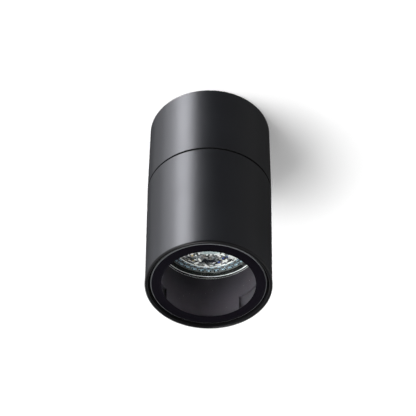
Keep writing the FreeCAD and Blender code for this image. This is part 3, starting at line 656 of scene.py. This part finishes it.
def ceiling_paint():
    """White paint that glows a little where it is seen. It fades out far away and isn't seen from above."""
    made, t = new_material("ceiling_paint")
    glow_strength = 0.228
    fade_start, fade_end = 0.30, 0.70
    white = t.add("ShaderNodeBsdfDiffuse", Color=t.blend(t.noise(4 * mm), grey(0.79), grey(0.81)))
    path = t.add("ShaderNodeLightPath").outputs
    mirrored = t.math("MAXIMUM", path["Is Glossy Ray"], path["Is Transmission Ray"])
    seen = t.math("MAXIMUM", path["Is Camera Ray"], mirrored)
    glow = t.add("ShaderNodeEmission", Color=grey(1), Strength=t.math("MULTIPLY", seen, glow_strength))
    lit = t.add("ShaderNodeAddShader", at_0=white.outputs[0], at_1=glow.outputs[0]).outputs[0]
    above = t.add("ShaderNodeNewGeometry").outputs["Backfacing"]
    unseen = t.math("MAXIMUM", above, t.between(t.radius(), 0.0, 1.0, fade_start, fade_end))
    t.surface(t.mix(unseen, lit, t.add("ShaderNodeBsdfTransparent").outputs[0]))
    return made


def make_ceiling():
    """White ceiling round the light, seen from below only, that takes the light's shadow."""
    data = ceiling_mesh()
    data.materials.append(ceiling_paint())
    ceiling = bpy.data.objects.new("ceiling", data)
    scene.collection.objects.link(ceiling)
    ceiling.visible_glossy = False
    ceiling.visible_diffuse = False
    ceiling.visible_shadow = False


def make_world():
    """What the glass and the coat mirror: pale round the horizon and darker above and below it.

    The camera sees plain white instead.
    """
    world = bpy.data.worlds.new("studio")
    scene.world = world
    t = Tree(world)
    place = t.add("ShaderNodeTexCoord").outputs["Generated"]
    x, y, height = t.add("ShaderNodeSeparateXYZ", Vector=place).outputs
    ramp = t.add("ShaderNodeValToRGB", Fac=t.math("MULTIPLY", t.math("ADD", height, 1.0), 0.5))
    colours = ramp.color_ramp
    colours.interpolation = "EASE"
    # Height on the unit sphere and brightness there; the first two take the places that the ramp has already
    stops = ((-0.93, 0.5), (0.45, 0.07), (-0.80, 0.02), (-0.50, 0.02), (-0.42, 0.88), (0.08, 0.88))
    for n, (z, value) in enumerate(stops):
        share = (z + 1) / 2
        stop = colours.elements[n] if n < 2 else colours.elements.new(share)
        stop.position = share
        stop.color = grey(value)
    turn = t.math("ARCTAN2", y, x)
    twofold = t.math("MULTIPLY", t.math("COSINE", t.math("MULTIPLY", turn, 2.0)), 0.75)
    leftward = t.math("MULTIPLY", t.math("COSINE", turn), -0.35)
    strength = t.math("ADD", t.math("ADD", twofold, leftward), 1.0)
    back = t.add("ShaderNodeBackground", Color=ramp.outputs[0], Strength=strength).outputs[0]
    plain = t.add("ShaderNodeBackground", Color=grey(1), Strength=1.0).outputs[0]
    seen = t.add("ShaderNodeLightPath").outputs["Is Camera Ray"]
    t.add("ShaderNodeOutputWorld", Surface=t.mix(seen, back, plain))


def hang_lamp(name, data, target, away, distance, tilt_deg=0):
    """Lamp at a distance from the target in the direction away, turned to face it."""
    lamp = bpy.data.objects.new(name, data)
    scene.collection.objects.link(lamp)
    lamp.location = Vector(target) + away * distance
    lamp.rotation_mode = "QUATERNION"
    lamp.rotation_quaternion = away.to_track_quat("Z", "Y") @ Quaternion((0, 0, 1), math.radians(tilt_deg))
    return lamp


def soft_lamp(name, direction, distance, width, height, radiance, tint=(1, 1, 1), target=(0, 0, -0.05),
              tilt_deg=0):
    """Rectangular lamp of an even radiance that faces the target."""
    data = bpy.data.lights.new(name, "AREA")
    data.shape = "RECTANGLE"
    data.size, data.size_y = width, height
    data.energy = radiance * math.pi * width * height
    data.color = tint
    lamp = hang_lamp(name, data, target, Vector(direction).normalized(), distance, tilt_deg)
    lamp.visible_camera = False


def beside(azimuth_deg, elevation_deg):
    """Direction at an azimuth to the right of the camera's side and an elevation above the horizon."""
    a, e = math.radians(azimuth_deg), math.radians(elevation_deg)
    return math.sin(a) * math.cos(e), -math.cos(a) * math.cos(e), math.sin(e)


def mouth_lamp(name, direction, power):
    """Narrow beam into the mouth, so that the sleeve's sides are lit and nothing else."""
    distance, beam_radius = 1.5, 0.024
    data = bpy.data.lights.new(name, "SPOT")
    data.energy = power
    data.spot_size = 2 * math.atan(beam_radius / distance)
    data.spot_blend = 0.5
    data.shadow_soft_size = 0.02
    lamp = hang_lamp(name, data, (0, 0, mouth), Vector(direction).normalized(), distance)
    lamp.visible_glossy = False


make_ceiling()
make_world()

# Soft lamps: direction, distance, width, height, radiance and tint. Those beside the light draw the bright
# stripe down the tube and its soft falls, and the one below lights the mouth and casts the ceiling's shadow.
bluish = (0.955, 0.965, 1.03)
soft_lamp("tube_light", beside(-47.5, 45), 3.0, 1.0, 1.6, 12.3, bluish, tilt_deg=30)
soft_lamp("tube_low_light", beside(-47, 14), 3.0, 1.0, 1.5, 9.0, bluish)
soft_lamp("tube_edge_light", beside(-80, 45), 3.0, 1.05, 1.4, 2.7, bluish)
soft_lamp("flank_light", beside(-116, 45), 3.0, 1.1, 1.4, 0.55, (0.95, 0.965, 1.02))
soft_lamp("far_flank_light", beside(62, 45), 3.0, 2.8, 1.6, 0.088, (0.98, 0.99, 1.02))
soft_lamp("under_light", (-0.289, -0.208, -1.0), 3.64, 1.21, 1.42, 21.0, target=(0, 0, 0))

# Beams into the mouth, from the left and weaker ones from the right: slant in x and y, and power
for n, (x, y, power) in enumerate(((-1.2, -0.85, 128), (-1.4, -0.6, 58), (-1.6, -0.35, 14))):
    mouth_lamp("mouth_light_%d" % n, (x, y, -1), power)
for n, (x, y, power) in enumerate(((1.3, -0.4, 46), (1.6, 0.1, 46))):
    mouth_lamp("mouth_fill_%d" % n, (x, y, -1), power)
